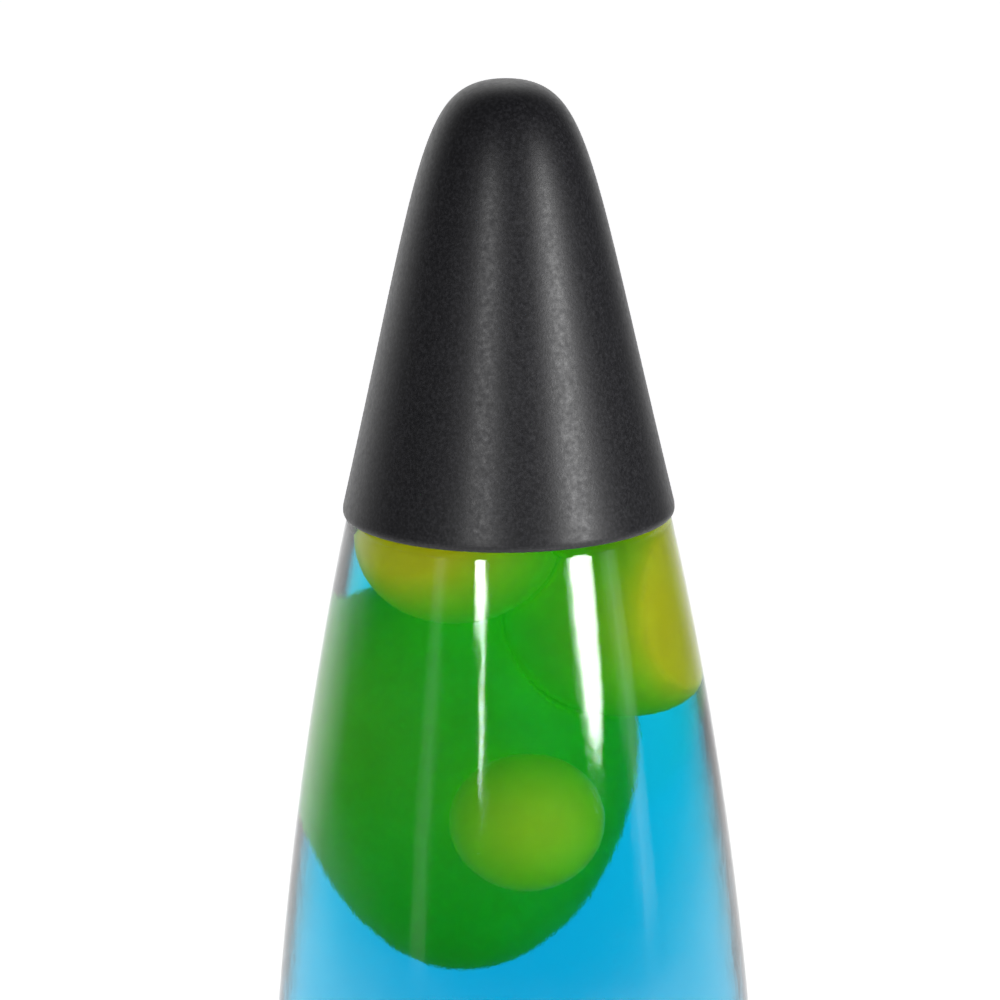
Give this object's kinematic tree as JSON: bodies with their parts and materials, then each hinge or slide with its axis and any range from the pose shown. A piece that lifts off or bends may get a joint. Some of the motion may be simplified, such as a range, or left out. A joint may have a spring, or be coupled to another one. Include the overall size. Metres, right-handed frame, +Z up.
{
  "type": "lava lamp",
  "caption": "Wax-and-liquid lamp: a tapered glass bottle with blue liquid and yellow wax, in a waisted black metal base over a reflector bulb, under a rounded cap.",
  "frame": {"origin": "on the table under the middle of the base", "axes": "+Z up the lamp's axis, -Y towards the front of the lamp, the cord outlet at +Y"},
  "size_m": [0.1072, 0.1072, 0.3974],
  "materials": {
    "black_metal": "satin black, finely textured",
    "bottle_glass": "clear and polished",
    "closure_tin": "bright tinplate",
    "closure_liner": "matt, pale grey",
    "blue_liquid": "clear blue liquid",
    "wax": "smooth translucent yellow wax",
    "bare_steel": "satin bare steel",
    "zinc_steel": "bright zinc plate",
    "silicone": "matt, pale grey",
    "rubber": "matt black",
    "phenolic": "moulded, half gloss, near black",
    "holder_ceramic": "glazed cream ceramic, packed at a plastic's density",
    "brass": "bright stamped brass",
    "solder": "dull solder",
    "black_glass": "opaque black glass",
    "aluminium": "rolled, half bright",
    "bulb_glass": "clear front, frosted sides",
    "bulb_wire": "drawn wire"
  },
  "bodies": {
    "base": {"base_shell": "black_metal", "base_plate": "bare_steel", "holder_bracket": "bare_steel", "threaded_nipple": "bare_steel", "nipple_nut": "bare_steel", "bottle_seat_ring": "silicone", "cord_grommet": "rubber", "holder_dome": "phenolic", "holder_sleeve": "phenolic", "contact_block": "holder_ceramic", "thread_shell": "brass", "centre_contact": "brass", "rubber_foot_1": "rubber", "rubber_foot_2": "rubber", "rubber_foot_3": "rubber", "rubber_foot_4": "rubber", "plate_screw_1": "zinc_steel", "plate_screw_2": "zinc_steel", "plate_screw_3": "zinc_steel", "plate_nut_1": "zinc_steel", "plate_nut_2": "zinc_steel", "plate_nut_3": "zinc_steel", "bracket_screw_1": "zinc_steel", "bracket_screw_2": "zinc_steel", "bracket_nut_1": "zinc_steel", "bracket_nut_2": "zinc_steel", "terminal_screw_1": "brass", "terminal_screw_2": "brass"},
    "bulb": {"bulb_contact": "solder", "bulb_insulator": "black_glass", "bulb_screw_cap": "aluminium", "bulb_envelope": "bulb_glass", "bulb_stem": "bulb_glass", "bulb_lead_1": "bulb_wire", "bulb_lead_2": "bulb_wire", "bulb_filament": "bulb_wire"},
    "bottle": {"bottle_glass": "bottle_glass", "crown_closure": "closure_tin", "crown_liner": "closure_liner", "blue_liquid": "blue_liquid", "wax_mound": "wax", "wire_coil": "bare_steel"},
    "cap": {"cap_shell": "black_metal"},
    "wax_large": {"wax_large": "wax"},
    "wax_small": {"wax_small": "wax"},
    "wax_left": {"wax_left": "wax"},
    "wax_right": {"wax_right": "wax"}
  },
  "joints": [
    {"name": "bottle_lift", "type": "slide", "parent": "base", "child": "bottle", "axis": [0, 0, 1], "range_m": [0, 0.1]},
    {"name": "cap_lift", "type": "slide", "parent": "bottle", "child": "cap", "axis": [0, 0, 1], "range_m": [0, 0.08]},
    {"name": "bulb_unscrew", "type": "hinge", "parent": "base", "child": "bulb", "pos_m": [0, 0, 0.04], "axis": [0, 0, 1], "range_deg": [0, 1080]},
    {"name": "large_wax_drift", "type": "slide", "parent": "bottle", "child": "wax_large", "axis": [0, 0, 1], "range_m": [-0.08, 0], "stiffness_N_per_m": 1.132, "springref_m": 1.02, "deforming": ["blue_liquid"]},
    {"name": "small_wax_drift", "type": "slide", "parent": "bottle", "child": "wax_small", "axis": [0, 0, 1], "range_m": [-0.08, 0], "stiffness_N_per_m": 0.11, "springref_m": 1.0206, "deforming": ["blue_liquid"]},
    {"name": "left_wax_drift", "type": "slide", "parent": "bottle", "child": "wax_left", "axis": [0, 0, 1], "range_m": [-0.056, 0], "stiffness_N_per_m": 0.288, "springref_m": 1.0193, "deforming": ["blue_liquid"]},
    {"name": "right_wax_drift", "type": "slide", "parent": "bottle", "child": "wax_right", "axis": [0, 0, 1], "range_m": [-0.08, 0], "stiffness_N_per_m": 0.345, "springref_m": 1.019, "deforming": ["blue_liquid"]}
  ],
  "couplings": [
    {"joint": "small_wax_drift", "follows": "large_wax_drift", "ratio": 1},
    {"joint": "left_wax_drift", "follows": "large_wax_drift", "ratio": 0.7},
    {"joint": "right_wax_drift", "follows": "large_wax_drift", "ratio": 1}
  ]
}
